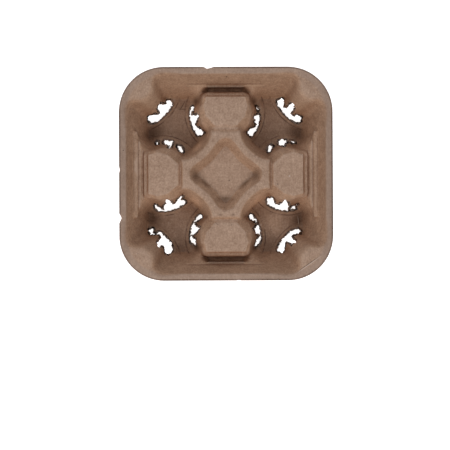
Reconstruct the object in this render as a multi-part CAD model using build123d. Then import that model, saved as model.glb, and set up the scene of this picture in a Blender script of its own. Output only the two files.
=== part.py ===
from build123d import *
import os
from math import atan2, cos, radians, sin, sqrt, tan

# A four-cup carrier of moulded paper pulp. The pulp is one sheet of even thickness, drawn over a mould.
# It is made here as the mould makes it: the form under its upper face, less that form set back by the sheet.
# Sizes are in millimetres. Drafts are in degrees from upright. Heights are above the table it stands on.

# Sheet and rim
sheet = 2.0
rim_side = 215.9
rim_height = 50.8
rim_corner_radius = 45.5
rim_width = 7.0

# Walls
wall_draft = 24.4
wall_top_round = 2.2

# Pocket floors, each with a raised lip round its slots
pocket_reach = 51.5
pocket_draft = 14.5
lip_height = 4.5
lip_flat = 0.8
lip_width = 5.2

# Posts at the middle of each side, placed from the pockets on either side of them
side_post_offset = 12.8
side_post_reach = pocket_reach + side_post_offset
side_post_height = 37.0
side_post_radius = 25.0
side_post_draft = 12.4
side_slot_radius = 36.6

# Flat top of a side post: half widths and their distance out from the post's axis
top_inner_half_width = 10.2
top_inner_edge = -16.0
top_shoulder_half_width = 19.8
top_shoulder = -5.0
top_waist_half_width = 22.3
top_waist = 5.0
top_outer_half_width = 19.5
top_outer_edge = 14.6
top_facet_draft = 40.0

# Corner posts, part of the rim's own level, placed from the pocket that each stands behind
corner_post_offset = 43.5
corner_post_reach = pocket_reach + corner_post_offset
corner_post_radius = 24.5
corner_post_draft = 21.0
corner_post_round = 8.0
corner_flank_inset = 21.7
corner_flank_draft = 15.0
corner_flank_round = 5.0
corner_slot_radius = 46.3

# Centre post with its diamond recess. It ends short of the side posts, and its arms keep their width.
centre_post_height = 39.0
centre_post_gap = 19.7
centre_post_reach = side_post_reach - centre_post_gap
ridge_half_width = 13.53
centre_post_end_draft = 12.0
ridge_crown = 8.0
centre_post_round = 2.3
recess_floor_height = 29.0
recess_tip_gap = 3.0
recess_tip_radius = 2.5
recess_draft = 41.0
recess_round = 2.0

# Ledge on the outer side of a side post, as wide as the shoulders under it
ledge_drop = 2.6
ledge_step_draft = 27.0
shoulder_half_width = 23.9

# Groove between the ledge and the wall, with its inner side measured out from the side post's axis.
# The long shelf and its wide groove are on the +Y and -Y sides, the short shelf and its narrow groove on the
# others.
wide_groove_offset = 18.6
wide_groove_height = 20.0
narrow_groove_offset = 19.5
narrow_groove_height = 26.0

# Web between a side post and its wall, level with the groove. Its top edge runs between an outer and an inner
# point, each measured from the post's axis.
web_outer_half_width = 34.5
web_outer_edge = 21.7
web_inner_half_width = 25.0
web_inner_edge = 15.6
web_draft = 20.0

# Shelves at the foot of the walls, measured in from the rim's edge
long_shelf_inset = 20.05
long_shelf_height = 28.6
long_shelf_half_length = 27.0
long_shelf_fade = 24.0
short_shelf_inset = 21.95
short_shelf_height = 30.4
short_shelf_half_length = 30.0
short_shelf_fade = 14.0
shelf_fade_out = 4.0

# The short shelf's small step and the slope above it
step_inset = 19.05
step_width = 0.7
step_height = 33.4
slope_inset = 13.95
slope_height = 36.2

# Torn slots. Each outline is a ring of (turn, bite) points about its post. A turn is in degrees anticlockwise
# from the line between the post and the middle of the pocket. A bite is how far the tear goes in from the
# smooth arc on the floor's side, so neighbours with no bite are joined by that arc. A slot that is torn in
# parts has a ring for each.
side_slots = [
    ((0, 1), (-1, 1), [
        [(-26, 3.3), (-22, 4.5), (-17, 2.6), (-11, 1.6), (-9, 9.2), (-4, 9.6), (7, 2.7), (22, 7.1),
         (31, 7.4), (29, 3.1), (24, 0), (-18, 0), (-24, 1.2)],
    ]),
    ((0, 1), (1, 1), [
        [(-30, 4.5), (-27, 6.7), (-20, 6.8), (-10, 1.9), (-5, 2.4), (-3, 5.3), (1, 4.9), (3, 7.3), (7, 7),
         (12, 2.9), (10, 0.7), (6, 0), (-26, 0), (-29, 1.2)],
        [(18, 2.4), (26, 4.9), (27.3, 4.6), (24, 2.4), (20, 1.3)],
    ]),
    ((-1, 0), (-1, 1), [
        [(-28.5, 5), (-25, 6.9), (-21, 6.9), (-13, 3.9), (-12.5, 1.8), (-17, 0.6), (-21, 1.1)],
        [(-3, 7.1), (1, 9.7), (3, 9.1), (1.5, 5.6), (13, 3), (11, 0), (-3, 0)],
        [(20.5, 1), (22.5, 2.4), (25, 4.4), (26.2, 3.1), (23.5, 0.4)],
    ]),
    ((-1, 0), (-1, -1), [
        [(-31, 5.5), (-27, 6.4), (-17, 2.3), (-13, 1.2), (-11.5, 6.3), (-9, 7.2), (-7, 11.2), (3, 9),
         (5, 5.6), (9, 5.3), (22, 8.6), (28.5, 8.2), (29.3, 6.4), (23, 5.8), (27.5, 1.8), (26, 0),
         (-23, 0), (-28, 2.4)],
    ]),
    ((1, 0), (1, 1), [
        [(-28.5, 2.6), (-22, 3), (-19.5, 1.6), (-19, 0.5), (-24, 0.6)],
        [(-14.5, 1.8), (-10, 3.7), (-8.5, 7.4), (-6, 7.8), (0, 5), (1.3, 3), (0, 0), (-12, 0)],
        [(11.5, 3.4), (24, 7.3), (27, 5.2), (20, 0.6), (16, 0.4)],
    ]),
    ((1, 0), (1, -1), [
        [(-26.5, 5.5), (-20, 8.8), (-10, 4.9), (-5, 4.3), (-2, 5.1), (6, 10.7), (14, 8), (16.5, 5),
         (15, 0), (-21, 0), (-25, 2.2)],
        [(17.5, 1.4), (20, 3.2), (34.3, 5.9), (34, 4.9), (29.5, 4.2), (28, 1.2), (24, 0.3), (19, 0.5)],
    ]),
    ((0, -1), (-1, -1), [
        [(-29.5, 3.8), (-28, 5.3), (-21, 4.4), (-13, 0.8), (-9, 2.6), (-7, 8.8), (5, 6.1), (9, 1.2),
         (13, 2.8), (17, 6.1), (29.3, 6), (21, 0), (-22, 0), (-28, 1.2)],
    ]),
    ((0, -1), (1, -1), [
        [(-32, 5.4), (-27, 6.3), (-20, 5.4), (-15, 2.3), (-9, 1.4), (-7, 4.9), (-3, 6), (2, 5.7),
         (3.5, 7.9), (7, 1.3), (11, 0.6), (16, 2.2), (20, 4.7), (25, 5.7), (29, 4), (28.5, 1.2), (26, 0),
         (-20, 0), (-26, 2.2)],
    ]),
]
corner_slots = [
    ((1, 1), (1, 1), [
        [(-22.3, 7), (-20, 8.4), (-16, 7.9), (-10, 4.4), (-6.5, 4.5), (-6, 11.2), (-2, 12.8), (3.8, 9.5),
         (4.5, 5.2), (10, 4.5), (12, 7.5), (20.5, 8), (21.7, 4.5), (20, 0.9), (16, 0), (-16, 0),
         (-20.5, 1.2)],
    ]),
    ((-1, 1), (-1, 1), [
        [(-22.5, 5.2), (-21, 8.5), (-17, 9.1), (-5, 4.9), (-2.5, 5.4), (-1, 9.7), (7, 11.4), (9, 8.5),
         (13, 6.5), (19, 6.7), (21.3, 5.1), (20, 0.9), (17, 0), (-16, 0), (-21, 2)],
    ]),
    ((-1, -1), (-1, -1), [
        [(-24.3, 8), (-20, 10.7), (-8, 7.8), (-6.3, 12.6), (-1, 12.1), (1.5, 10), (3.5, 2.8), (8, 2.6),
         (13, 6.7), (18, 7.5), (20.5, 6.5), (22.3, 3.6), (20, 1.2), (17.5, 0.7), (16, 4.6), (12, 4.8),
         (10.5, 1), (8, 0), (-14, 0), (-20, 1.8), (-22.5, 4)],
    ]),
    ((1, -1), (1, -1), [
        [(-20.5, 5.8), (-18, 7.4), (-9, 5.1), (-4.5, 4.5), (-4, 11.5), (-2, 12.1), (4, 10.2), (5.5, 4.2),
         (9, 4.9), (13, 7), (22, 7.7), (23.3, 4.5), (22, 1.2), (18, 0), (-10, 0), (-18, 1.6)],
    ]),
]

# Nicks in the rim. Each has its edge's bearing, its first, deepest and last point along that edge, and its
# depth.
rim_nicks = [
    (90, -22.4, -18.8, -11.6, 2.0),
    (180, -49.9, -44.5, -39.6, 2.1),
    (180, 0.6, 4.0, 8.0, 0.8),
    (270, -15.0, -12.5, -10.0, 0.5),
]

# Space left round the forms so that they cut and join cleanly
spare = 6.0

# How far a pocket's flare runs past its edge on the ridge
flare_run = 9.2

ON_TABLE = (Align.CENTER, Align.CENTER, Align.MIN)


def set_back(profile, skin):
    """An open profile moved by the skin to its right-hand side, square to each of its lines."""
    sides = []
    for (x0, y0), (x1, y1) in zip(profile, profile[1:]):
        length = sqrt((x1 - x0) ** 2 + (y1 - y0) ** 2)
        sides.append(((y1 - y0) / length, (x0 - x1) / length))
    before = [sides[0]] + sides
    after = sides + [sides[-1]]
    moved = []
    for (x, y), (ax, ay), (bx, by) in zip(profile, before, after):
        share = skin / (1 + ax * bx + ay * by)
        moved.append((x + share * (ax + bx), y + share * (ay + by)))
    return moved


def turned(profile, skin):
    """A form of revolution."""
    line = set_back(profile, skin)
    face = make_face(Polyline(*line, (0, line[-1][1]), line[0]).edges())
    return revolve(Plane.XZ * face, Axis.Z)


def eased(profile, size):
    """The profile with its first corner taken off in two flats, as a round of this size would."""
    before, corner, after = [Vector(*point) for point in profile[:3]]
    back = (before - corner).normalized()
    on = (after - corner).normalized()
    half = radians(back.get_angle(on)) / 2
    run = size / tan(half)
    middle = corner + (back + on).normalized() * (size / sin(half) - size)
    points = [corner + back * run, middle, corner + on * run]
    return [profile[0]] + [(point.X, point.Y) for point in points] + profile[2:]


def post_profile(top_radius, height, draft, slot_radius):
    """Axis to floor: flat top, drafted side, the ring that the slots are torn from, and the raised lip."""
    foot_radius = top_radius + (height - lip_height) * tan(radians(draft))
    lip_slope = (lip_height - sheet) / lip_width
    lip_edge = slot_radius + lip_flat
    below = spare + lip_height
    return [
        (0, height),
        (top_radius, height),
        (foot_radius, lip_height),
        (lip_edge, lip_height),
        (lip_edge + below / lip_slope, lip_height - below),
    ]


def level_set_back(skin, draft):
    """How far a drafted side moves in a level plane that itself sinks by the skin."""
    return skin / cos(radians(draft)) - skin * tan(radians(draft))


def beyond(start, end, height, draft, skin):
    """The space past a drafted plane through one side of a top that runs clockwise from start to end."""
    along = Vector(end[0] - start[0], end[1] - start[1], 0).normalized()
    outward = Vector(-along.Y, along.X, 0)
    normal = outward * cos(radians(draft)) + Vector(0, 0, sin(radians(draft)))
    middle = Vector((start[0] + end[0]) / 2, (start[1] + end[1]) / 2, height)
    facet = Plane(middle - normal * skin, x_dir=along, z_dir=normal)
    return facet * Box(rim_side, rim_side, rim_side, align=ON_TABLE)


def square_block(half_width, top, bottom, draft):
    """A square block with a flat top of this half width and drafted sides."""
    height = top - bottom
    spread = height * tan(radians(draft))
    foot = half_width + spread
    upright = Wedge(2 * foot, height, 2 * foot, spread, spread, 2 * foot - spread, 2 * foot - spread)
    return Pos(0, 0, (top + bottom) / 2) * Rot(90, 0, 0) * upright


def side_post(skin, cut_off, groove_height):
    """The +Y side's post, in place, cut off at its groove and joined to the wall by a web at that level."""
    profile = post_profile(side_post_radius, side_post_height, side_post_draft, side_slot_radius)
    post = turned(profile, skin)
    right = [
        (top_outer_half_width, top_outer_edge),
        (top_waist_half_width, top_waist),
        (top_shoulder_half_width, top_shoulder),
        (top_inner_half_width, top_inner_edge),
    ]
    corners = right + [(-x, y) for x, y in reversed(right)]
    for start, end in zip(corners, corners[1:]):
        post -= beyond(start, end, side_post_height, top_facet_draft, skin)
    ledge = side_post_height - ledge_drop
    half_width = shoulder_half_width - level_set_back(skin, side_post_draft)
    post += Pos(0, shoulder_half_width) * square_block(half_width, ledge - skin, -spare, side_post_draft)
    step = set_back([
        (top_outer_edge, side_post_height),
        (top_outer_edge + ledge_drop * tan(radians(ledge_step_draft)), ledge),
        (cut_off, ledge),
        (cut_off, groove_height),
        (rim_side, groove_height),
    ], skin)
    above = side_post_height + spare
    face = make_face(Polyline(*step, (step[-1][0], above), (step[0][0], above), step[0]).edges())
    post -= extrude(Plane.YZ * face, rim_side, both=True)
    outwards_and_down = (Align.CENTER, Align.MIN, Align.MAX)
    web = Pos(0, 0, groove_height - skin) * Box(rim_side, rim_side, rim_side, align=outwards_and_down)
    outer = (web_outer_half_width, web_outer_edge)
    inner = (web_inner_half_width, web_inner_edge)
    for start, end in ((outer, inner), ((-inner[0], inner[1]), (-outer[0], outer[1]))):
        web -= beyond(start, end, groove_height, web_draft, skin)
    return Pos(0, side_post_reach) * (post + web)


def corner_post(skin):
    """The corner post between +X and +Y, in place."""
    profile = post_profile(corner_post_radius, rim_height, corner_post_draft, corner_slot_radius)
    cone = turned(profile if skin else eased(profile, corner_post_round), skin)
    flank_reach = corner_post_reach - corner_flank_inset
    side = rim_side / 2 + spare - flank_reach
    shift = flank_reach + side - corner_post_reach
    half_width = side - level_set_back(skin, corner_flank_draft)
    flanks = square_block(half_width, rim_height - skin, lip_height - skin, corner_flank_draft)
    flanks = Pos(shift, shift) * flanks
    if not skin:
        flanks = fillet(flanks.faces().sort_by(Axis.Z)[-1].edges(), corner_flank_round)
    slab = Pos(0, 0, lip_height - skin) * Box(rim_side, rim_side, rim_height, align=ON_TABLE)
    return Pos(corner_post_reach, corner_post_reach) * ((cone & flanks) + (cone - slab))


def pocket(skin):
    """The round space of one pocket where it shapes the centre post, flared over the post's ridge."""
    edge = pocket_reach - ridge_half_width
    profile = [
        (edge + flare_run, centre_post_height + flare_run * tan(radians(ridge_crown))),
        (edge, centre_post_height),
        (edge - (centre_post_height + spare) * tan(radians(pocket_draft)), -spare),
    ]
    line = set_back(profile if skin else eased(profile, centre_post_round), -skin)
    high = rim_height + spare
    outline = Polyline(*line, (0, line[-1][1]), (0, high), (line[0][0], high), line[0])
    return revolve(Plane.XZ * make_face(outline.edges()), Axis.Z)


def centre_post(skin):
    """The post between the four pockets, with its ridge and its recess."""
    half_width = centre_post_reach - level_set_back(skin, centre_post_end_draft)
    block = square_block(half_width, centre_post_height - skin, -spare, centre_post_end_draft)
    if not skin:
        block = fillet(block.faces().sort_by(Axis.Z)[-1].edges(), centre_post_round)
    for x in (-pocket_reach, pocket_reach):
        for y in (-pocket_reach, pocket_reach):
            block -= Pos(x, y) * pocket(skin)
    depth = centre_post_height - recess_floor_height
    out = level_set_back(skin, recess_draft)
    reach = centre_post_reach - recess_tip_gap - sqrt(2) * (depth * tan(radians(recess_draft)) - out)
    corners = [(reach, 0), (0, reach), (-reach, 0), (0, -reach)]
    floor = fillet(Polygon(*corners, align=None).vertices(), recess_tip_radius + out)
    recess = extrude(Pos(0, 0, recess_floor_height - skin) * floor, depth + spare, taper=-recess_draft)
    block -= recess
    if skin:
        return block
    return fillet(block.faces().sort_by(Axis.Z)[-1].inner_wires()[0].edges(), recess_round)


def shelf(skin, section, half_length, fade):
    """A shelf along the foot of the +Y wall, from a section of (distance out, height) points."""
    line = set_back(section, skin)
    inner = line[0][0]
    outer = line[-1][0]
    face = make_face(Polyline((inner, -spare), *line, (outer, -spare), (inner, -spare)).edges())
    reach = half_length + fade
    bar = extrude(Plane.YZ * face, reach, both=True)
    right = [(half_length, inner), (reach, inner + shelf_fade_out), (reach, outer)]
    plan = Polygon(*right, *[(-x, y) for x, y in reversed(right)], align=None)
    return bar & extrude(Pos(0, 0, -spare) * plan, rim_height + spare)


def form(skin):
    """All that lies under the sheet's upper face, or under its lower face when set back by the sheet."""
    past = spare if skin else 0
    side = rim_side + 2 * past
    outline = RectangleRounded(side, side, rim_corner_radius + past)
    low = -past
    body = extrude(Pos(0, 0, low) * outline, rim_height - skin - low)

    slope = tan(radians(wall_draft))
    foot = rim_side / 2 - rim_width - (rim_height - sheet) * slope
    foot_radius = rim_corner_radius - rim_side / 2 + foot
    out = level_set_back(skin, wall_draft)
    plan = Pos(0, 0, sheet - skin) * RectangleRounded(2 * (foot + out), 2 * (foot + out), foot_radius + out)
    basin = extrude(plan, rim_height - sheet, taper=-wall_draft)
    body -= basin
    if not skin:
        inner_edge = body.faces().sort_by(Axis.Z)[-1].inner_wires()[0].edges()
        body = fillet(inner_edge, wall_top_round)

    edge = rim_side / 2
    long_section = [
        (edge - long_shelf_inset, 0),
        (edge - long_shelf_inset, long_shelf_height),
        (edge, long_shelf_height),
    ]
    short_section = [
        (edge - short_shelf_inset, 0),
        (edge - short_shelf_inset, short_shelf_height),
        (edge - step_inset, short_shelf_height),
        (edge - step_inset + step_width, step_height),
        (edge - slope_inset, slope_height),
        (edge, slope_height),
    ]
    raised = centre_post(skin)
    for turn in (0, 90, 180, 270):
        raised += Rot(0, 0, turn) * corner_post(skin)
    for turn in (0, 180):
        raised += Rot(0, 0, turn) * side_post(skin, wide_groove_offset, wide_groove_height)
        raised += Rot(0, 0, turn) * shelf(skin, long_section, long_shelf_half_length, long_shelf_fade)
    for turn in (90, 270):
        raised += Rot(0, 0, turn) * side_post(skin, narrow_groove_offset, narrow_groove_height)
        raised += Rot(0, 0, turn) * shelf(skin, short_section, short_shelf_half_length, short_shelf_fade)
    body += raised
    if skin:
        return body
    return body & extrude(outline, rim_height)


def torn_ring(post, middle, slot_radius, ring):
    """One torn hole as a solid that goes right through the carrier."""
    facing = atan2(middle[1] - post[1], middle[0] - post[0])

    def place(turn, bite):
        bearing = facing + radians(turn)
        reach = slot_radius - bite
        return (post[0] + reach * cos(bearing), post[1] + reach * sin(bearing))

    edges = []
    for (turn0, bite0), (turn1, bite1) in zip(ring, ring[1:] + ring[:1]):
        start, end = place(turn0, bite0), place(turn1, bite1)
        if bite0 == 0 and bite1 == 0:
            edges.append(ThreePointArc(start, place((turn0 + turn1) / 2, 0), end))
        else:
            edges.append(Line(start, end))
    return extrude(Pos(0, 0, -spare) * make_face(edges), rim_height + 2 * spare)


def slots():
    """Every torn hole of the four pockets."""
    holes = []
    kinds = [
        (side_slots, side_post_reach, side_slot_radius),
        (corner_slots, corner_post_reach, corner_slot_radius),
    ]
    for rows, post_reach, slot_radius in kinds:
        for (post_x, post_y), (pocket_x, pocket_y), rings in rows:
            post = (post_x * post_reach, post_y * post_reach)
            middle = (pocket_x * pocket_reach, pocket_y * pocket_reach)
            holes += [torn_ring(post, middle, slot_radius, ring) for ring in rings]
    return holes


def nicks():
    """The small tears along the rim's edge."""
    edge = rim_side / 2
    tears = []
    for bearing, first, deepest, last, depth in rim_nicks:
        past = edge + spare
        corners = [(first, edge), (deepest, edge - depth), (last, edge), (last, past), (first, past)]
        tear = extrude(Polygon(*corners, align=None), rim_height + spare)
        tears.append(Rot(0, 0, bearing - 90) * tear)
    return tears


carrier = form(0) - form(sheet) - slots() - nicks()
print("carrier", carrier.is_valid, len(carrier.solids()), round(carrier.volume))
os.makedirs("parts", exist_ok=True)
export_step(carrier, "parts/cup_carrier.step")
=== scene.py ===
# %% [markdown]
# A four-cup carrier of moulded paper pulp. The real one is a single sheet about two millimetres thick,
# sucked on to a wire mould and dried, so every edge is soft and no two surfaces are quite even. The solid
# model already has the true form with sharp corners. This lesson turns it into pulp, gives it its fibres
# and marks, paints some light and shade on to it, then sets up a camera, a floor and soft light. Lengths
# are in metres unless a name says otherwise.

import bpy
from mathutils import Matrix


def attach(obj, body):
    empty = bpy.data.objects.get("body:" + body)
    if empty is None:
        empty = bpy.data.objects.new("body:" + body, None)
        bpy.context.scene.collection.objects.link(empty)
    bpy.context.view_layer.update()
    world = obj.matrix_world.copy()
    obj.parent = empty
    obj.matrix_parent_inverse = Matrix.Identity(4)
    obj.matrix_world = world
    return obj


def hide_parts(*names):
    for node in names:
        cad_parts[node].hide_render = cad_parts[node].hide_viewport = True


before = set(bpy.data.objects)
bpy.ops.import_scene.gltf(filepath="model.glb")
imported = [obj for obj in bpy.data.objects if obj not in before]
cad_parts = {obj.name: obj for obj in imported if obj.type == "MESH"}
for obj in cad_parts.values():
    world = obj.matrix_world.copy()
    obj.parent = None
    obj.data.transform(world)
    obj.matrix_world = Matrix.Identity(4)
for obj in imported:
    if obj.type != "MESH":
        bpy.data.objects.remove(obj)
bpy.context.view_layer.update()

import bpy
import numpy as np
from math import cos, radians, sin
from mathutils import Matrix, Vector, kdtree

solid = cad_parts["cup_carrier"]


# %% [markdown]
# Blender's operators act on everything that is selected, and the loaded model is selected as it comes in. A
# small helper clears the selection and picks one object, so that each step says what it works on.

# %% Helper: work on one object
def work_on(piece):
    bpy.ops.object.select_all(action="DESELECT")
    piece.select_set(True)
    bpy.context.view_layer.objects.active = piece


# %% [markdown]
# The soft form starts from a copy of the solid. Its triangles are loose, so their shared corners are joined
# first.

# %% Copy the solid
SAME_PLACE = 0.00001

pulp = solid.copy()
pulp.data = solid.data.copy()
pulp.name = "carrier_pulp"
bpy.context.scene.collection.objects.link(pulp)
work_on(pulp)
bpy.ops.object.mode_set(mode="EDIT")
bpy.ops.mesh.select_all(action="SELECT")
bpy.ops.mesh.remove_doubles(threshold=SAME_PLACE)
bpy.ops.object.mode_set(mode="OBJECT")
print("corners in the copy", len(pulp.data.vertices))


# %% [markdown]
# The sheet's torn slots are its only upright faces low in the pockets. Points along their edges are kept in
# a tree, so that later steps can ask how far any place is from a tear.

# %% Find the torn edges
TORN_SPACING = 0.0006
TORN_WITHIN = 0.083
TORN_WALL_BELOW = 0.020
MOST_LEAN = 0.03

torn_points = []
for face in pulp.data.polygons:
    out = max(abs(face.center.x), abs(face.center.y))
    if abs(face.normal.z) < MOST_LEAN and face.center.z < TORN_WALL_BELOW and out < TORN_WITHIN:
        corners = [pulp.data.vertices[i].co for i in face.vertices]
        for start, end in zip(corners, corners[1:] + corners[:1]):
            steps = max(1, int((end - start).length / TORN_SPACING))
            torn_points += [start.lerp(end, k / steps) for k in range(steps)]
torn = kdtree.KDTree(len(torn_points))
for number, point in enumerate(torn_points):
    torn.insert(point, number)
torn.balance()
print("points along the torn edges", len(torn_points))


# %% [markdown]
# A voxel remesh wraps the solid in small even squares, a quarter of the sheet's thickness. That is fine
# enough to keep the sheet's two faces and the narrow tears apart, and it gives every later step the same
# grain to work with.

# %% Remesh evenly
VOXEL = 0.0005

wrap = pulp.modifiers.new("wrap", "REMESH")
wrap.mode = "VOXEL"
wrap.voxel_size = VOXEL
bpy.ops.object.modifier_apply(modifier="wrap")
print("squares after the remesh", len(pulp.data.polygons))


# %% [markdown]
# The next steps treat each corner of the mesh by where it lies. Numpy works on all of them at once. These
# helpers read and write the corners, ease a share from nothing to one between two limits, and measure how
# far each corner is from the rim's outline or from a tear.

# %% Helpers: where each corner of the mesh lies
RIM_HALF = 0.10795
RIM_RADIUS = 0.0455
TORN_BELOW = 0.024
TORN_REACH = 0.09
SHARE_STEPS = 20


def places(piece):
    """The x, y and z of every corner of the mesh."""
    flat = np.empty(3 * len(piece.data.vertices), dtype=np.float32)
    piece.data.vertices.foreach_get("co", flat)
    return flat.reshape(-1, 3).T.astype(float)


def write_places(piece, x, y, z):
    piece.data.vertices.foreach_set("co", np.array([x, y, z]).T.astype(np.float32).ravel())
    piece.data.update()


def ease(value, low, high):
    """Nothing at the low value, one at the high value."""
    return np.clip((value - low) / (high - low), 0, 1)


def from_outline(x, y):
    """How far in from the rim's outline each point lies, seen from above."""
    across = np.maximum(abs(x) - RIM_HALF + RIM_RADIUS, 0)
    along = np.maximum(abs(y) - RIM_HALF + RIM_RADIUS, 0)
    straight = np.minimum(RIM_HALF - abs(x), RIM_HALF - abs(y))
    return np.where((across > 0) & (along > 0), RIM_RADIUS - np.hypot(across, along), straight)


def from_tear(x, y, z):
    """How far each point is from a torn edge. Points that are nowhere near one count as far off."""
    gap = np.ones_like(x)
    near = np.nonzero((z < TORN_BELOW) & (np.maximum(abs(x), abs(y)) < TORN_REACH))[0]
    gap[near] = [torn.find(point)[2] for point in zip(x[near], y[near], z[near])]
    return gap


def group(name, share):
    """A vertex group that holds each corner by its share, in even steps."""
    new = pulp.vertex_groups.new(name=name)
    levels = np.rint(SHARE_STEPS * share).astype(int)
    for level in range(1, SHARE_STEPS + 1):
        new.add(np.nonzero(levels == level)[0].tolist(), level / SHARE_STEPS, "REPLACE")
    print(name, "holds", int((levels > 0).sum()), "corners")


# %% [markdown]
# Pulp doesn't follow the narrow grooves of the mould. On the near and far posts the outer ledge reaches a
# millimetre further and sags towards its groove, the shelf across from it stands a millimetre further out,
# and pulp fills the groove's outer corners. On the left and right posts it fills the narrow groove, and
# only fine lines are left. It could be sculpted by hand. Sums on the corners' places give the same form
# each time. In each pair of limits the share is nothing at the first and one at the second. They are
# measured out from the middle, sideways from an axis or up from the table.

# %% Which way each corner lies
x, y, z = places(pulp)
out = np.maximum(abs(x), abs(y))
side = np.minimum(abs(x), abs(y))
near_far = abs(y) > abs(x)
print("corners on the near and far sides", int(near_far.sum()))

# %% Near and far posts: sagging, longer ledges
SAG = 0.0014
SAG_BEGINS = (0.0815, 0.0835)
SAG_ENDS = (0.0853, 0.0836)
SAG_SIDES = (0.030, 0.023)
SAG_ABOVE = (0.0265, 0.0315)
LONGER = 0.0010
LONGER_BEGINS = (0.0799, 0.0824)
LONGER_ENDS = (0.0851, 0.0837)
LONGER_SIDES = (0.028, 0.022)
LONGER_ABOVE = (0.0205, 0.0225)

lowered = SAG * ease(out, *SAG_BEGINS) * ease(out, *SAG_ENDS) * ease(side, *SAG_SIDES) * ease(z, *SAG_ABOVE)
longer = LONGER * ease(out, *LONGER_BEGINS) * ease(out, *LONGER_ENDS)
longer *= ease(side, *LONGER_SIDES) * ease(z, *LONGER_ABOVE)
print("deepest sag", round(lowered.max(), 4))

# %% Near and far posts: shelf edge and groove corners
SHELF_EDGE = 0.0879
SHELF_SHIFT = 0.0011
SHIFT_BEGINS = (0.0862, 0.0872)
SHIFT_ENDS = (0.0915, 0.0895)
SHIFT_SIDES = (0.036, 0.026)
SHIFT_BELOW = (0.0335, 0.0300)
GROOVE_HALF = 0.0180
END_SLANT = 0.63
END_EASE = 0.0006
END_FILL = 0.0080
END_FILL_SIDES = (0.0180, 0.0195)
END_FILL_FADES = (0.036, 0.030)
END_FILL_BEGINS = (0.0826, 0.0836)
END_FILL_ENDS = (0.0889, 0.0879)
END_FILL_BELOW = (0.0286, 0.0210)
END_FILL_ABOVE = (0.018, 0.0195)

shifted = SHELF_SHIFT * ease(out, *SHIFT_BEGINS) * ease(out, *SHIFT_ENDS)
shifted *= ease(side, *SHIFT_SIDES) * ease(z, *SHIFT_BELOW)
slant = SHELF_EDGE - END_SLANT * (side - GROOVE_HALF)
gathered = END_FILL * ease(out, slant - END_EASE, slant + END_EASE)
gathered *= ease(side, *END_FILL_SIDES) * ease(side, *END_FILL_FADES)
gathered *= ease(out, *END_FILL_BEGINS) * ease(out, *END_FILL_ENDS)
gathered *= ease(z, *END_FILL_BELOW) * ease(z, *END_FILL_ABOVE)
print("highest fill in a groove's corner", round(gathered.max(), 4))

# %% Left and right posts: filled grooves
FILL = 0.0050
FILL_BEGINS = (0.0820, 0.0836)
FILL_ENDS = (0.0902, 0.0888)
FILL_SIDES = (0.036, 0.032)
FILL_BELOW = (0.0340, 0.0265)
FILL_ABOVE = (0.018, 0.022)

lifted = FILL * ease(out, *FILL_BEGINS) * ease(out, *FILL_ENDS) * ease(side, *FILL_SIDES)
lifted *= ease(z, *FILL_BELOW) * ease(z, *FILL_ABOVE)
z += np.where(near_far, gathered - lowered, lifted)
y += np.sign(y) * np.where(near_far, shifted + longer, 0)
print("highest fill in a narrow groove", round(lifted.max(), 4))


# %% [markdown]
# The four sides of the diamond recess bow in by a millimetre and a half. They are straight in the solid,
# because a bowed side with a draft makes many faces there. Here the corners of the mesh are simply pushed,
# most in the middle of each side.

# %% Bow the recess's sides
BOW = 0.0016
BOW_REACH = 0.020
BOW_BEGINS = (0.0137, 0.0187)
BOW_ENDS = (0.0335, 0.0300)
BOW_ABOVE = (0.020, 0.026)
DIAGONAL = np.sqrt(2)

from_side_middle = np.clip((abs(x) - abs(y)) / DIAGONAL / BOW_REACH, -1, 1)
from_middle = (abs(x) + abs(y)) / DIAGONAL
bow = BOW * np.cos(from_side_middle * np.pi / 2) ** 2
bow *= ease(from_middle, *BOW_BEGINS) * ease(from_middle, *BOW_ENDS) * ease(z, *BOW_ABOVE)
x -= np.sign(x) * bow / DIAGONAL
y -= np.sign(y) * bow / DIAGONAL
write_places(pulp, x, y, z)
print("deepest bow", round(bow.max(), 4))


# %% [markdown]
# Wet pulp fills corners and drapes over edges, so the whole sheet is smoothed. Rounding edge by edge with a
# bevel would miss the corners where many faces meet. Some places are treated apart, each by a share from
# nothing to one. The torn edges and the rim's outline were broken or cut when dry, so they stay as crisp as
# they are. The narrow steps on the walls and posts were pressed by the mould, so they are smoothed least.
# The corner posts, the sides of the side posts and the valleys are the softest places.

# %% Crisp places: tears, outline and pressed steps
TEAR_SHADE_REACH = (0.0020, 0.0008)
TEAR_CRISP = (0.0004, 0.0028)
OUTLINE_CRISP = (0.0003, 0.0022)
PRESSED_SIDES = (0.040, 0.030)
PRESSED_FROM = (0.0855, 0.0875)
PRESSED_ABOVE = (0.022, 0.026)

tear_gap = from_tear(x, y, z)
# The material lays painted shade along the tears by this attribute, nearly black close to a tear.
tear_shade_share = pulp.data.attributes.new("tear_shade_share", "FLOAT", "POINT")
tear_shade_share.data.foreach_set("value", ease(tear_gap, *TEAR_SHADE_REACH).astype(np.float32))
inside = from_outline(x, y)
free = np.minimum(ease(tear_gap, *TEAR_CRISP), ease(inside, *OUTLINE_CRISP))
pressed = ease(side, *PRESSED_SIDES) * ease(out, *PRESSED_FROM) * ease(z, *PRESSED_ABOVE)
print("corners by a tear", int((tear_gap < TEAR_SHADE_REACH[0]).sum()))

# %% Soft places: the sides of the side posts
BESIDE_MIDDLE = 0.0275
BESIDE_WIDTH = (0.010, 0.004)
BESIDE_FROM = (0.070, 0.076)
LEDGE_START = 0.079
LEDGE_SOFT_BELOW = (0.039, 0.035)
POST_SOFT_BELOW = (0.035, 0.029)
SIDE_STEP_CRISP = (0.0870, 0.0850)

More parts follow.
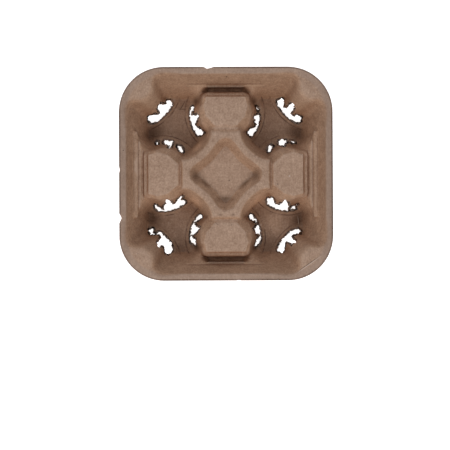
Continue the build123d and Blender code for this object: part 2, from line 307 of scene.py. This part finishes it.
beside = ease(abs(side - BESIDE_MIDDLE), *BESIDE_WIDTH) * ease(out, *BESIDE_FROM)
beside *= np.where(out > LEDGE_START, ease(z, *LEDGE_SOFT_BELOW), ease(z, *POST_SOFT_BELOW))
beside *= np.where(near_far, 1, ease(out, *SIDE_STEP_CRISP))
print("corners beside the posts", int((beside > 0).sum()))

# %% Soft places: corner posts and the centre post's upper edges
CORNER_REACH = 0.0950
CORNER_SOFT = (0.050, 0.032)
CORNER_ABOVE = (0.006, 0.016)
CORNER_INSET = (0.003, 0.0065)
POCKET_REACH = 0.0515
BROW_SHARE = 0.22
BROW_RADIUS = 0.037
BROW_WIDTH = (0.009, 0.005)
BROW_ABOVE = (0.024, 0.030)
BROW_WITHIN = (0.046, 0.042)

from_corner = np.hypot(abs(x) - CORNER_REACH, abs(y) - CORNER_REACH)
corner = ease(from_corner, *CORNER_SOFT) * ease(z, *CORNER_ABOVE) * ease(inside, *CORNER_INSET)
from_pocket = np.hypot(abs(x) - POCKET_REACH, abs(y) - POCKET_REACH)
brow = BROW_SHARE * ease(abs(from_pocket - BROW_RADIUS), *BROW_WIDTH)
brow *= ease(z, *BROW_ABOVE) * ease(out, *BROW_WITHIN)
print("corners on the corner posts", int((corner > 0).sum()))

# %% Soft places: valleys and grooves
VALLEY_OUT = 0.0450
VALLEY_SIDES = (0.016, 0.012)
VALLEY_WIDTH = (0.005, 0.003)
VALLEY_ABOVE = (0.024, 0.028)
FAR_VALLEY = 0.7
NEAR_VALLEY = 0.35
SIDE_VALLEY = 0.10
GROOVE_OUT = 0.0845
GROOVE_SIDES = (0.034, 0.028)
GROOVE_WIDTH = (0.004, 0.002)
GROOVE_ABOVE = (0.018, 0.022)
WIDE_GROOVE = 0.05
NARROW_GROOVE = 0.15

valley = ease(side, *VALLEY_SIDES) * ease(abs(out - VALLEY_OUT), *VALLEY_WIDTH) * ease(z, *VALLEY_ABOVE)
valley *= np.where(near_far, np.where(y > 0, FAR_VALLEY, NEAR_VALLEY), SIDE_VALLEY)
groove = ease(side, *GROOVE_SIDES) * ease(abs(out - GROOVE_OUT), *GROOVE_WIDTH) * ease(z, *GROOVE_ABOVE)
groove *= np.where(near_far, WIDE_GROOVE, NARROW_GROOVE)
print("corners in the valleys", int((valley > 0).sum()))

# %% Keep the shares in vertex groups
PRESSED_SHARE = 0.8
BESIDE_SHARE = 0.8
RAGGED_NEAR = (0.0030, 0.0004)

group("general", free * (1 - PRESSED_SHARE * pressed * (1 - beside)))
group("extra", free * np.maximum.reduce([corner, BESIDE_SHARE * beside, valley, groove, brow]))
group("torn", ease(tear_gap, *RAGGED_NEAR))


# %% [markdown]
# The Smooth modifier moves each corner towards the middle of its neighbours, once a round. Forty rounds
# soften an edge by about the sheet's thickness. The softest places get many more.

# %% Soften
SMOOTHING = 0.5
GENERAL_ROUNDS = 40
EXTRA_ROUNDS = 640

for name, rounds in (("general", GENERAL_ROUNDS), ("extra", EXTRA_ROUNDS)):
    soften = pulp.modifiers.new(name, "SMOOTH")
    soften.factor = SMOOTHING
    soften.iterations = rounds
    soften.vertex_group = name
    bpy.ops.object.modifier_apply(modifier=name)
print("highest corner after softening", round(places(pulp)[2].max(), 5))


# %% [markdown]
# Torn pulp is ragged. Clouds push the torn edges to and fro by nearly a millimetre. A second, wider set of
# clouds presses the sheet in by up to 0.3 mm here and there, so that it doesn't look machined. It never
# presses outwards, so the carrier doesn't grow past its size.

# %% Ragged tears and uneven faces
RAGGED = 0.0045
RAGGED_GRAIN = 0.0022
RAGGED_GRAIN_Y = 1.17 * RAGGED_GRAIN
UNEVEN = 0.0003
UNEVEN_GRAIN = 0.014
INWARDS_ONLY = 1.0


def clouds(name, grain):
    cloud = bpy.data.textures.new(name, "CLOUDS")
    cloud.noise_scale = grain
    cloud.noise_depth = 2
    return cloud


for direction, grain in (("X", RAGGED_GRAIN), ("Y", RAGGED_GRAIN_Y)):
    rag = pulp.modifiers.new("ragged", "DISPLACE")
    rag.texture = clouds("rag " + direction, grain)
    rag.direction = direction
    rag.strength = RAGGED
    rag.vertex_group = "torn"
    bpy.ops.object.modifier_apply(modifier="ragged")
uneven = pulp.modifiers.new("uneven", "DISPLACE")
uneven.texture = clouds("uneven", UNEVEN_GRAIN)
uneven.mid_level = INWARDS_ONLY
uneven.strength = UNEVEN
uneven.vertex_group = "general"
bpy.ops.object.modifier_apply(modifier="uneven")
print("highest corner after the clouds", round(places(pulp)[2].max(), 5))


# %% [markdown]
# The even grain has far more triangles than the flat faces need, so it is thinned. Decimate takes them
# first where the form is flat, so the tears keep most of theirs.

# %% Thin the mesh where it is flat
MOST_TRIANGLES = 190000

thin = pulp.modifiers.new("thin", "DECIMATE")
thin.ratio = min(1.0, MOST_TRIANGLES / (2 * len(pulp.data.polygons)))
bpy.ops.object.modifier_apply(modifier="thin")
bpy.ops.object.shade_smooth()
print("triangles in the carrier", sum(len(face.vertices) - 2 for face in pulp.data.polygons))

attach(pulp, "root")
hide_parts("cup_carrier")


# %% [markdown]
# The finish is one material, made of nodes. Written out one by one they would fill pages, so a few helpers
# make a node and join it up, do sums, ease a value between two limits and lay one colour over another.

# %% Helpers for the material
finish = bpy.data.materials.new("moulded pulp")
finish.use_nodes = True
tree = finish.node_tree
shader = tree.nodes["Principled BSDF"]
pulp.data.materials.clear()
pulp.data.materials.append(finish)
NOISE_ROUGHNESS = 0.6


def node(kind, inputs, **settings):
    """A new node. An input that comes from another node is linked, and any other is a plain value."""
    new = tree.nodes.new("ShaderNode" + kind)
    for name, value in settings.items():
        setattr(new, name, value)
    for name, value in inputs.items():
        if isinstance(value, bpy.types.NodeSocket):
            tree.links.new(value, new.inputs[name])
        else:
            new.inputs[name].default_value = value
    return new


def sums(operation, first, second=0.0):
    return node("Math", {0: first, 1: second}, operation=operation).outputs[0]


def times(first, second):
    return sums("MULTIPLY", first, second)


def most(first, second):
    return sums("MAXIMUM", first, second)


def between(value, low, high):
    """Nothing at the low limit, one at the high limit."""
    return node("MapRange", {"Value": value, "From Min": low, "From Max": high}).outputs[0]


def opaque(colour):
    """A plain colour gets its fourth number, and one that comes from a node already has it."""
    return colour if isinstance(colour, bpy.types.NodeSocket) else (*colour, 1)


def over(below, colour, share, blend="MIX"):
    """A colour laid over what is below it by its share. With MULTIPLY it dyes what is below."""
    mix = node("Mix", {0: share, 6: opaque(below), 7: opaque(colour)}, data_type="RGBA", blend_type=blend)
    return mix.outputs[2]


def noise(place, scale, detail=2.0):
    inputs = {"Vector": place, "Scale": scale, "Detail": detail, "Roughness": NOISE_ROUGHNESS}
    return node("TexNoise", inputs).outputs[0]


# %% [markdown]
# Pulp is mottled at three sizes, and short fibres lie in all directions in it. A photograph wrapped round
# the form would stretch on the steep sides. Noise placed by the carrier's own coordinates doesn't. Grains
# are in spots per metre, about.

# %% Mottle and fibres
WIDE_GRAIN = 30
MIDDLING_GRAIN = 160
FINE_GRAIN = 520
MOTTLE_LIMITS = (0.35, 0.65)
FINE_LIMITS = (0.33, 0.67)
FIBRE_GRAIN = 1100
FIBRE_LIMITS = (0.56, 0.70)
FIBRE_TURNS = (0.3, 1.35, 2.4)
FIBRE_LEAN = (0.2, 0.3)
FIBRE_STRETCH = (1, 0.16, 0.6)
DEEP = (0.27, 0.168, 0.108)
PALE = (0.53, 0.368, 0.262)
WIDE_SHARE = 0.16
MIDDLING_SHARE = 0.24
FINE_SHARE = 0.46
FIBRE_SHARE = 0.20

here = node("TexCoord", {}).outputs["Object"]
east, north, height = node("SeparateXYZ", {0: here}).outputs
wide = between(noise(here, WIDE_GRAIN), *MOTTLE_LIMITS)
middling = between(noise(here, MIDDLING_GRAIN, 3), *MOTTLE_LIMITS)
fine = between(noise(here, FINE_GRAIN, 4), *FINE_LIMITS)
fibre = 0.0
for turn in FIBRE_TURNS:
    placed = {"Vector": here, "Rotation": (*FIBRE_LEAN, turn), "Scale": FIBRE_STRETCH}
    strand = between(noise(node("Mapping", placed).outputs[0], FIBRE_GRAIN, 1), *FIBRE_LIMITS)
    fibre = most(strand, fibre)

share = times(wide, WIDE_SHARE)
for pattern, part in ((middling, MIDDLING_SHARE), (fine, FINE_SHARE), (fibre, FIBRE_SHARE)):
    share = sums("ADD", share, times(pattern, part))
colour = over(DEEP, PALE, share)
print("nodes so far", len(tree.nodes))

# %% Specks
DARK_SPECK_GRAIN = 620
DARK_SPECK_LIMITS = (0.705, 0.76)
DARK_SPECK = (0.12, 0.075, 0.05)
DARK_SPECK_SHARE = 0.6
PALE_SPECK_GRAIN = 760
PALE_SPECK_LIMITS = (0.71, 0.76)
PALE_SPECK = (0.62, 0.50, 0.41)
PALE_SPECK_SHARE = 0.5
PALE_SPECK_SHIFT = (3, 5, 1)

elsewhere = node("Mapping", {"Vector": here, "Location": PALE_SPECK_SHIFT}).outputs[0]
dark_speck = between(noise(here, DARK_SPECK_GRAIN, 1), *DARK_SPECK_LIMITS)
pale_speck = between(noise(elsewhere, PALE_SPECK_GRAIN, 1), *PALE_SPECK_LIMITS)
colour = over(colour, DARK_SPECK, times(dark_speck, DARK_SPECK_SHARE))
colour = over(colour, PALE_SPECK, times(pale_speck, PALE_SPECK_SHARE))
print("nodes so far", len(tree.nodes))


# %% [markdown]
# The rim's flat band is a little greyer than the rest, and painted a little darker on the left and right
# sides, where it is in shade. A thin line of painted shade runs along its rounded outer edge. These follow
# the outline, so the material first works out how far in from the outline each place is, as the mesh steps
# did.

# %% Rim
RIM_TOP = (0.0485, 0.0500)
RIM_BAND = (0.0082, 0.0070)
RIM_TINT = (0.345, 0.262, 0.212)
RIM_TINT_SHARE = 0.35
SIDE_BAND = (0.0100, 0.0070)
SIDE_BAND_FROM = (0.0960, 0.1000)
SIDE_SHADE = (0.21, 0.145, 0.11)
SIDE_SHADE_SHARE = 0.28
RIM_LINE = (0.0019, 0.0008)
RIM_LINE_ABOVE = (0.046, 0.048)
RIM_EDGE_SHADE = (0.065, 0.032, 0.02)
RIM_EDGE_SHADE_SHARE = 0.9


def from_point(across, along):
    """The distance from a point, seen from above. Each way is a pair: where one is and where the point is."""
    flat = node("CombineXYZ", {0: sums("SUBTRACT", *across), 1: sums("SUBTRACT", *along)})
    return node("VectorMath", {0: flat.outputs[0]}, operation="LENGTH").outputs["Value"]


wide_x = sums("ABSOLUTE", east)
wide_y = sums("ABSOLUTE", north)
past_x = most(sums("SUBTRACT", wide_x, RIM_HALF - RIM_RADIUS), 0.0)
past_y = most(sums("SUBTRACT", wide_y, RIM_HALF - RIM_RADIUS), 0.0)
to_edge = sums("SUBTRACT", RIM_RADIUS, from_point((past_x, 0.0), (past_y, 0.0)))

band = times(between(to_edge, *RIM_BAND), between(height, *RIM_TOP))
side_band = times(between(to_edge, *SIDE_BAND), between(wide_x, *SIDE_BAND_FROM))
rim_line = times(between(to_edge, *RIM_LINE), between(height, *RIM_LINE_ABOVE))
colour = over(colour, RIM_TINT, times(band, RIM_TINT_SHARE))
# Painted shade on the band's left and right sides, and a thin line of painted shade along the rounded outer
# edge.
colour = over(colour, SIDE_SHADE, times(side_band, SIDE_SHADE_SHARE))
colour = over(colour, RIM_EDGE_SHADE, times(rim_line, RIM_EDGE_SHADE_SHARE))
print("nodes so far", len(tree.nodes))


# %% [markdown]
# The mould left a broken crease on the pocket floors round each post's foot, and its shade is painted as a
# dark broken ring. Each crease is a ring round the post's axis, seen from above.

# %% Painted shade in the creases round the posts
SIDE_REACH = 0.0643
CREASE_OUT = 0.0412
CORNER_CREASE_OUT = 0.0506
CREASE_WIDTH = 0.0010
FLOOR_BELOW = (0.0075, 0.0060)
BROKEN_GRAIN = 90
BROKEN_LIMITS = (0.35, 0.6)
CREASE_SHADE = (0.10, 0.06, 0.04)
CREASE_SHADE_SHARE = 0.8


def ring(value, radius, width):
    """One where the value is the radius, nothing at this width away from it."""
    return between(sums("ABSOLUTE", sums("SUBTRACT", value, radius)), width, 0.0)


crease_shade = ring(from_point((wide_x, SIDE_REACH), (wide_y, 0.0)), CREASE_OUT, CREASE_WIDTH)
crease_shade = most(crease_shade, ring(from_point((wide_x, 0.0), (wide_y, SIDE_REACH)), CREASE_OUT, CREASE_WIDTH))
corner_out = from_point((wide_x, CORNER_REACH), (wide_y, CORNER_REACH))
crease_shade = most(crease_shade, ring(corner_out, CORNER_CREASE_OUT, CREASE_WIDTH))
on_floor = between(height, *FLOOR_BELOW)
broken = between(noise(here, BROKEN_GRAIN), *BROKEN_LIMITS)
# The dark broken ring is painted shade in the crease.
colour = over(colour, CREASE_SHADE, times(times(crease_shade, times(on_floor, broken)), CREASE_SHADE_SHARE))
print("nodes so far", len(tree.nodes))


# %% [markdown]
# Thin straight folds run along the ledges and shelves. Their shade is painted as dark lines, with a band of
# painted shade along one shelf, and the few that catch the light get painted highlights. They are thinner
# than the mesh's grain, so they are painted. Each is set by how far out it runs and by half its length.

# %% Painted shade and highlights along the ledges' folds
FOLD_WIDTH = 0.0008
FOLD_FADE = 0.004
FOLD_ABOVE = (0.024, 0.028)
SIDE_FOLDS = ((0.0790, 0.022), (0.0837, 0.027), (0.0888, 0.038), (0.0935, 0.040))
NEAR_FAR_FOLD = (0.0922, 0.040)
SHELF_FOLD = (0.0901, 0.021)
LIT_SIDE_FOLDS = ((0.0865, 0.030), (0.0912, 0.038))
LIT_NEAR_FAR_FOLD = (0.0905, 0.038)
BEYOND_GROOVE = (0.016, 0.022)
FOLD_SHADE = (0.12, 0.07, 0.045)
FOLD_SHADE_SHARE = 0.45
SHELF_SHADE = (0.14, 0.09, 0.055)
SHELF_SHADE_SHARE = 0.22
FOLD_HIGHLIGHT = (0.60, 0.47, 0.36)
FOLD_HIGHLIGHT_SHARE = 0.3


def fold(across, along, at, half_length):
    """A thin straight fold across one way, on both sides of the carrier."""
    found = times(ring(across, at, FOLD_WIDTH), between(along, half_length, half_length - FOLD_FADE))
    return times(found, between(height, *FOLD_ABOVE))


fold_shades = fold(wide_y, wide_x, *NEAR_FAR_FOLD)
for row in SIDE_FOLDS:
    fold_shades = most(fold_shades, fold(wide_x, wide_y, *row))
fold_highlights = times(fold(wide_y, wide_x, *LIT_NEAR_FAR_FOLD), between(wide_x, *BEYOND_GROOVE))
for row in LIT_SIDE_FOLDS:
    fold_highlights = most(fold_highlights, fold(wide_x, wide_y, *row))
# Dark lines of painted shade, a band of painted shade along a shelf, and painted highlights on the folds that
# catch the light.
colour = over(colour, FOLD_SHADE, times(fold_shades, FOLD_SHADE_SHARE))
colour = over(colour, SHELF_SHADE, times(fold(wide_y, wide_x, *SHELF_FOLD), SHELF_SHADE_SHARE))
colour = over(colour, FOLD_HIGHLIGHT, times(fold_highlights, FOLD_HIGHLIGHT_SHARE))
print("nodes so far", len(tree.nodes))


# %% [markdown]
# Along the tears the sheet is painted nearly black as shade, with some rusty stretches. The mesh carries
# how near each corner is to a tear, and the material reads that. The slopes are painted a little browner
# than the flat tops by which way they face, as painted shade.

# %% Painted shade at the torn edges and on the slopes
RUST_GRAIN = 140
RUST_LIMITS = (0.5, 0.62)
TEAR_SHADE = (0.012, 0.008, 0.006)
TEAR_SHADE_RUST = (0.13, 0.05, 0.016)
TEAR_SHADE_LIMITS = (0.05, 0.5)
SLOPE_LIMITS = (0.97, 0.75)
SLOPE_SHADE = (1.03, 0.95, 0.86)
FACING_UP = (0.0, 0.1)

at_tear = node("Attribute", {}, attribute_name="tear_shade_share").outputs["Fac"]
tear_shade_colour = over(TEAR_SHADE, TEAR_SHADE_RUST, between(noise(here, RUST_GRAIN), *RUST_LIMITS))
# The sheet is painted nearly black along the tears, as painted shade.
colour = over(colour, tear_shade_colour, between(at_tear, *TEAR_SHADE_LIMITS))
upward = node("SeparateXYZ", {0: node("NewGeometry", {}).outputs["Normal"]}).outputs[2]
above = between(upward, *FACING_UP)
# Slopes are painted browner by which way they face, as painted shade.
colour = over(colour, SLOPE_SHADE, between(upward, *SLOPE_LIMITS), "MULTIPLY")
print("nodes so far", len(tree.nodes))


# %% [markdown]
# Single marks are stretched spots. The hard ones are flecks, cracks and scratches. The soft ones are wide
# spots of painted shade and painted light, which only shift the tone: painted shade in the recess's tips
# and the pockets' corners, and painted light on some slopes, as in the picture. A row has a mark's place to
# the right and to the far side, its length and width, all in millimetres, and its turn in degrees.

# %% Where the marks and the spots of painted light and shade are
DARK_MARKS = (
    (3.6, -6.0, 1.6, 1.2, 0), (5.7, -51.7, 1.8, 1.0, 20), (-103.5, 23.7, 1.6, 1.2, 0),
    (1.0, 98.3, 2.0, 1.0, 10), (52.6, -10.3, 1.8, 1.3, 0), (76.3, -47.0, 10.0, 0.7, -84),
    (-43.9, 72.1, 10.0, 0.9, -119), (-44.5, 68.6, 9.0, 0.8, 0), (-9.3, -50.4, 6.0, 0.5, -38),
    (76.5, 19.7, 4.5, 0.5, -26), (82.7, -91.5, 26.0, 0.7, 35),
)
PALE_MARKS = (
    (64.7, -2.2, 1.6, 1.4, 0), (75.4, -46.9, 9.0, 0.9, -84), (83.2, -92.3, 26.0, 0.9, 35),
)
PAINTED_SHADE_MARKS = (
    (-31.0, -1.5, 16.0, 11.0, -60), (-21.0, -9.0, 16.0, 5.0, -42), (31.0, -1.5, 16.0, 11.0, 65),
    (20.5, -8.5, 18.0, 5.0, 42), (-0.5, -25.0, 18.0, 8.0, 0), (-74.5, 42.0, 20.0, 15.0, 50),
    (74.5, 42.0, 20.0, 15.0, -50), (-74.5, -43.0, 20.0, 15.0, -60), (75.5, -46.0, 24.0, 15.0, 60),
    (-29.5, 76.0, 12.0, 8.0, 45), (29.5, 76.0, 12.0, 8.0, -45), (-30.0, -74.5, 12.0, 8.0, -45),
    (30.0, -74.5, 12.0, 8.0, 45), (-5.9, -41.3, 5.0, 2.6, 0), (7.2, -41.3, 5.0, 2.6, 0),
)
PAINTED_LIGHT_MARKS = (
    (32.0, -27.0, 30.0, 13.0, 45), (-32.0, -26.0, 20.0, 9.0, -45), (50.0, -51.0, 24.0, 24.0, 0),
    (-30.0, 66.0, 8.0, 14.0, 0), (30.0, 66.0, 8.0, 14.0, 0), (-28.6, 28.7, 16.0, 6.0, 45),
)
print("single marks", sum(map(len, (DARK_MARKS, PALE_MARKS, PAINTED_SHADE_MARKS, PAINTED_LIGHT_MARKS))))

# %% Lay the marks and the painted light and shade on the upper faces
MM = 0.001
ANY_HEIGHT = 100
HARD_EDGE = (1.3, 0.6)
SOFT_EDGE = (1.3, 0.0)
PAINTED_LIGHT_LIFT = (1.5, 1.54, 1.56)
PAINTED_SHADE = (0.10, 0.055, 0.03)
PAINTED_SHADE_SHARE = 0.68
HARD_DARK = (0.07, 0.045, 0.03)
HARD_DARK_SHARE = 0.7
HARD_PALE = (0.60, 0.50, 0.42)
HARD_PALE_SHARE = 0.6


def marks_and_painted_spots(rows, edge, core):
    """One inside the core of a mark or painted spot and nothing past its edge, both in halves of its length
    and width.
    """
    found = 0.0
    for across, along, length, width, turn in rows:
        placed = {
            "Vector": here,
            "Location": (across * MM, along * MM, 0),
            "Rotation": (0, 0, radians(turn)),
            "Scale": (length * MM / 2, width * MM / 2, ANY_HEIGHT),
        }
        laid = node("Mapping", placed, vector_type="TEXTURE").outputs[0]
        away = node("VectorMath", {0: laid}, operation="LENGTH").outputs["Value"]
        found = most(between(away, edge, core), found)
    return times(found, above)


# Wide soft spots of painted light and painted shade come first, then the real flecks, cracks and scratches.
colour = over(colour, PAINTED_LIGHT_LIFT, marks_and_painted_spots(PAINTED_LIGHT_MARKS, *SOFT_EDGE), "MULTIPLY")
colour = over(colour, PAINTED_SHADE, times(marks_and_painted_spots(PAINTED_SHADE_MARKS, *SOFT_EDGE), PAINTED_SHADE_SHARE))
colour = over(colour, HARD_DARK, times(marks_and_painted_spots(DARK_MARKS, *HARD_EDGE), HARD_DARK_SHARE))
colour = over(colour, HARD_PALE, times(marks_and_painted_spots(PALE_MARKS, *HARD_EDGE), HARD_PALE_SHARE))
print("nodes so far", len(tree.nodes))


# %% [markdown]
# Painted shade darkens the hollows and the sharp inward creases, and painted highlights make the edges that
# stick out paler. The Ambient Occlusion node tells how shut in a place is, and Pointiness tells how sharply
# it sticks out or in.

# %% Painted shade in hollows and painted highlights on edges
HOLLOW_REACH = 0.040
HOLLOW_SAMPLES = 8
HOLLOW_LIMITS = (0.90, 0.20)
HOLLOW_SHADE = (0.58, 0.42, 0.31)
EDGE_HIGHLIGHT_LIMITS = (0.503, 0.54)
EDGE_HIGHLIGHT = (0.62, 0.47, 0.36)
EDGE_HIGHLIGHT_SHARE = 0.4
CLEFT_SHADE_LIMITS = (0.497, 0.46)
CLEFT_SHADE = (0.12, 0.07, 0.045)
CLEFT_SHADE_SHARE = 0.4

shut_in = node("AmbientOcclusion", {"Distance": HOLLOW_REACH}, samples=HOLLOW_SAMPLES, only_local=True)
# Painted shade in the hollows.
colour = over(colour, HOLLOW_SHADE, between(shut_in.outputs["AO"], *HOLLOW_LIMITS), "MULTIPLY")
sharpness = node("NewGeometry", {}).outputs["Pointiness"]
# Painted highlights on edges that stick out, and painted shade in sharp inward creases.
colour = over(colour, EDGE_HIGHLIGHT, times(between(sharpness, *EDGE_HIGHLIGHT_LIMITS), EDGE_HIGHLIGHT_SHARE))
colour = over(colour, CLEFT_SHADE, times(between(sharpness, *CLEFT_SHADE_LIMITS), CLEFT_SHADE_SHARE))
print("nodes so far", len(tree.nodes))


# %% [markdown]
# Pulp is dull and slightly rough to the touch. The same mottle and fibres that colour it also raise it a
# little, as a bump, because single fibres are far too fine for the mesh.

# %% Surface
FINE_RELIEF = 0.6
FIBRE_RELIEF = 0.5
MIDDLING_RELIEF = 1.2
BUMP_STRENGTH = 0.6
BUMP_HEIGHT = 0.0003
DULL = 0.95
FAINT_GLOSS = 0.15

relief = sums("ADD", times(fine, FINE_RELIEF), times(fibre, FIBRE_RELIEF))
relief = sums("ADD", relief, times(middling, MIDDLING_RELIEF))
bump = node("Bump", {"Height": relief, "Strength": BUMP_STRENGTH, "Distance": BUMP_HEIGHT})
tree.links.new(bump.outputs[0], shader.inputs["Normal"])
tree.links.new(colour, shader.inputs["Base Color"])
shader.inputs["Roughness"].default_value = DULL
shader.inputs["Specular IOR Level"].default_value = FAINT_GLOSS
print("nodes in the finish", len(tree.nodes))


# %% [markdown]
# The picture was taken with a long lens from almost straight above, leaning a little towards the near side
# and the left, so the camera stands two metres up. It is turned by a fraction of a degree, as in the
# picture.

# %% Camera
FROM_RIM = 2.0
RIM_HEIGHT = 0.0508
MM_PER_PIXEL = 1.008
PICTURE_PIXELS = 450
LEAN_NEAR = radians(2.3)
LEAN_LEFT = radians(1.15)
AIM = Vector((-0.00135, -0.0519, RIM_HEIGHT))
ROLL = radians(0.25)
SENSOR_MM = 36.0
SEES_AS_FAR_AS = 20

lens = bpy.data.cameras.new("long lens")
lens.sensor_width = SENSOR_MM
lens.lens = SENSOR_MM * FROM_RIM / (PICTURE_PIXELS * MM_PER_PIXEL * MM)
lens.clip_end = SEES_AS_FAR_AS
camera = bpy.data.objects.new("camera", lens)
bpy.context.scene.collection.objects.link(camera)
camera.location = (-FROM_RIM * sin(LEAN_LEFT), -FROM_RIM * sin(LEAN_NEAR), RIM_HEIGHT + FROM_RIM)
sight = (camera.location - AIM).normalized()
up = Vector((sin(ROLL), cos(ROLL), 0))
right = up.cross(sight).normalized()
up = sight.cross(right)
camera.rotation_euler = Matrix((right, up, sight)).transposed().to_euler()
bpy.context.scene.camera = camera
print("lens in millimetres", round(lens.lens, 1))


# %% [markdown]
# The floor is pale and glows a little, so that the torn slots show white, as in the picture.

# %% Floor
FLOOR_SIDE = 3.0
PALE_FLOOR = (0.9, 0.9, 0.9, 1)
FLOOR_ROUGHNESS = 0.9
WHITE = (1, 1, 1, 1)
GLOW = 0.9

bpy.ops.mesh.primitive_plane_add(size=FLOOR_SIDE)
floor = bpy.context.active_object
floor.name = "floor"
floor_finish = bpy.data.materials.new("pale floor")
floor_finish.use_nodes = True
paint = floor_finish.node_tree.nodes["Principled BSDF"]
paint.inputs["Base Color"].default_value = PALE_FLOOR
paint.inputs["Roughness"].default_value = FLOOR_ROUGHNESS
paint.inputs["Emission Color"].default_value = WHITE
paint.inputs["Emission Strength"].default_value = GLOW
floor.data.materials.append(floor_finish)
print("floor", FLOOR_SIDE, "metres wide")


# %% [markdown]
# Four soft lights stand round the carrier, nearly as high as they are far away. From there they reach the
# tops of the posts and the walls, while the pocket floors stay half in shade. The near one is the strongest
# and the warmest. Each row has a light's name, its bearing in degrees, its power in watts and its colour.

# %% Lights
LIGHT_AWAY = 1.5
LIGHT_SIDE = 0.7
LIGHT_RISE = radians(42)
LIGHTS = (
    ("near light", -90, 10.2, (1.0, 0.97, 0.98)),
    ("far light", 90, 5.2, (0.95, 1.0, 1.10)),
    ("right light", 0, 2.6, (1.0, 1.0, 1.06)),
    ("left light", 180, 4.8, (1.0, 1.0, 1.06)),
)

for name, bearing, power, tint in LIGHTS:
    sheet_light = bpy.data.lights.new(name, "AREA")
    sheet_light.size = LIGHT_SIDE
    sheet_light.energy = power
    sheet_light.color = tint
    lamp = bpy.data.objects.new(name, sheet_light)
    bpy.context.scene.collection.objects.link(lamp)
    flat = LIGHT_AWAY * cos(LIGHT_RISE)
    lamp.location = (flat * cos(radians(bearing)), flat * sin(radians(bearing)), LIGHT_AWAY * sin(LIGHT_RISE))
    lamp.rotation_euler = lamp.location.to_track_quat("Z", "Y").to_euler()
print("lights", len(LIGHTS), "standing", round(LIGHT_AWAY * sin(LIGHT_RISE), 2), "metres high")


# %% [markdown]
# A weak, slightly blue sky fills the shadows. The Standard view keeps the colours as they are.

# %% Sky and view
SKY = (1, 1.01, 1.08, 1)
SKY_STRENGTH = 0.2

sky = bpy.data.worlds.new("studio")
sky.use_nodes = True
backdrop = sky.node_tree.nodes["Background"]
backdrop.inputs["Color"].default_value = SKY
backdrop.inputs["Strength"].default_value = SKY_STRENGTH
bpy.context.scene.world = sky
bpy.context.scene.view_settings.view_transform = "Standard"
print("sky strength", SKY_STRENGTH)
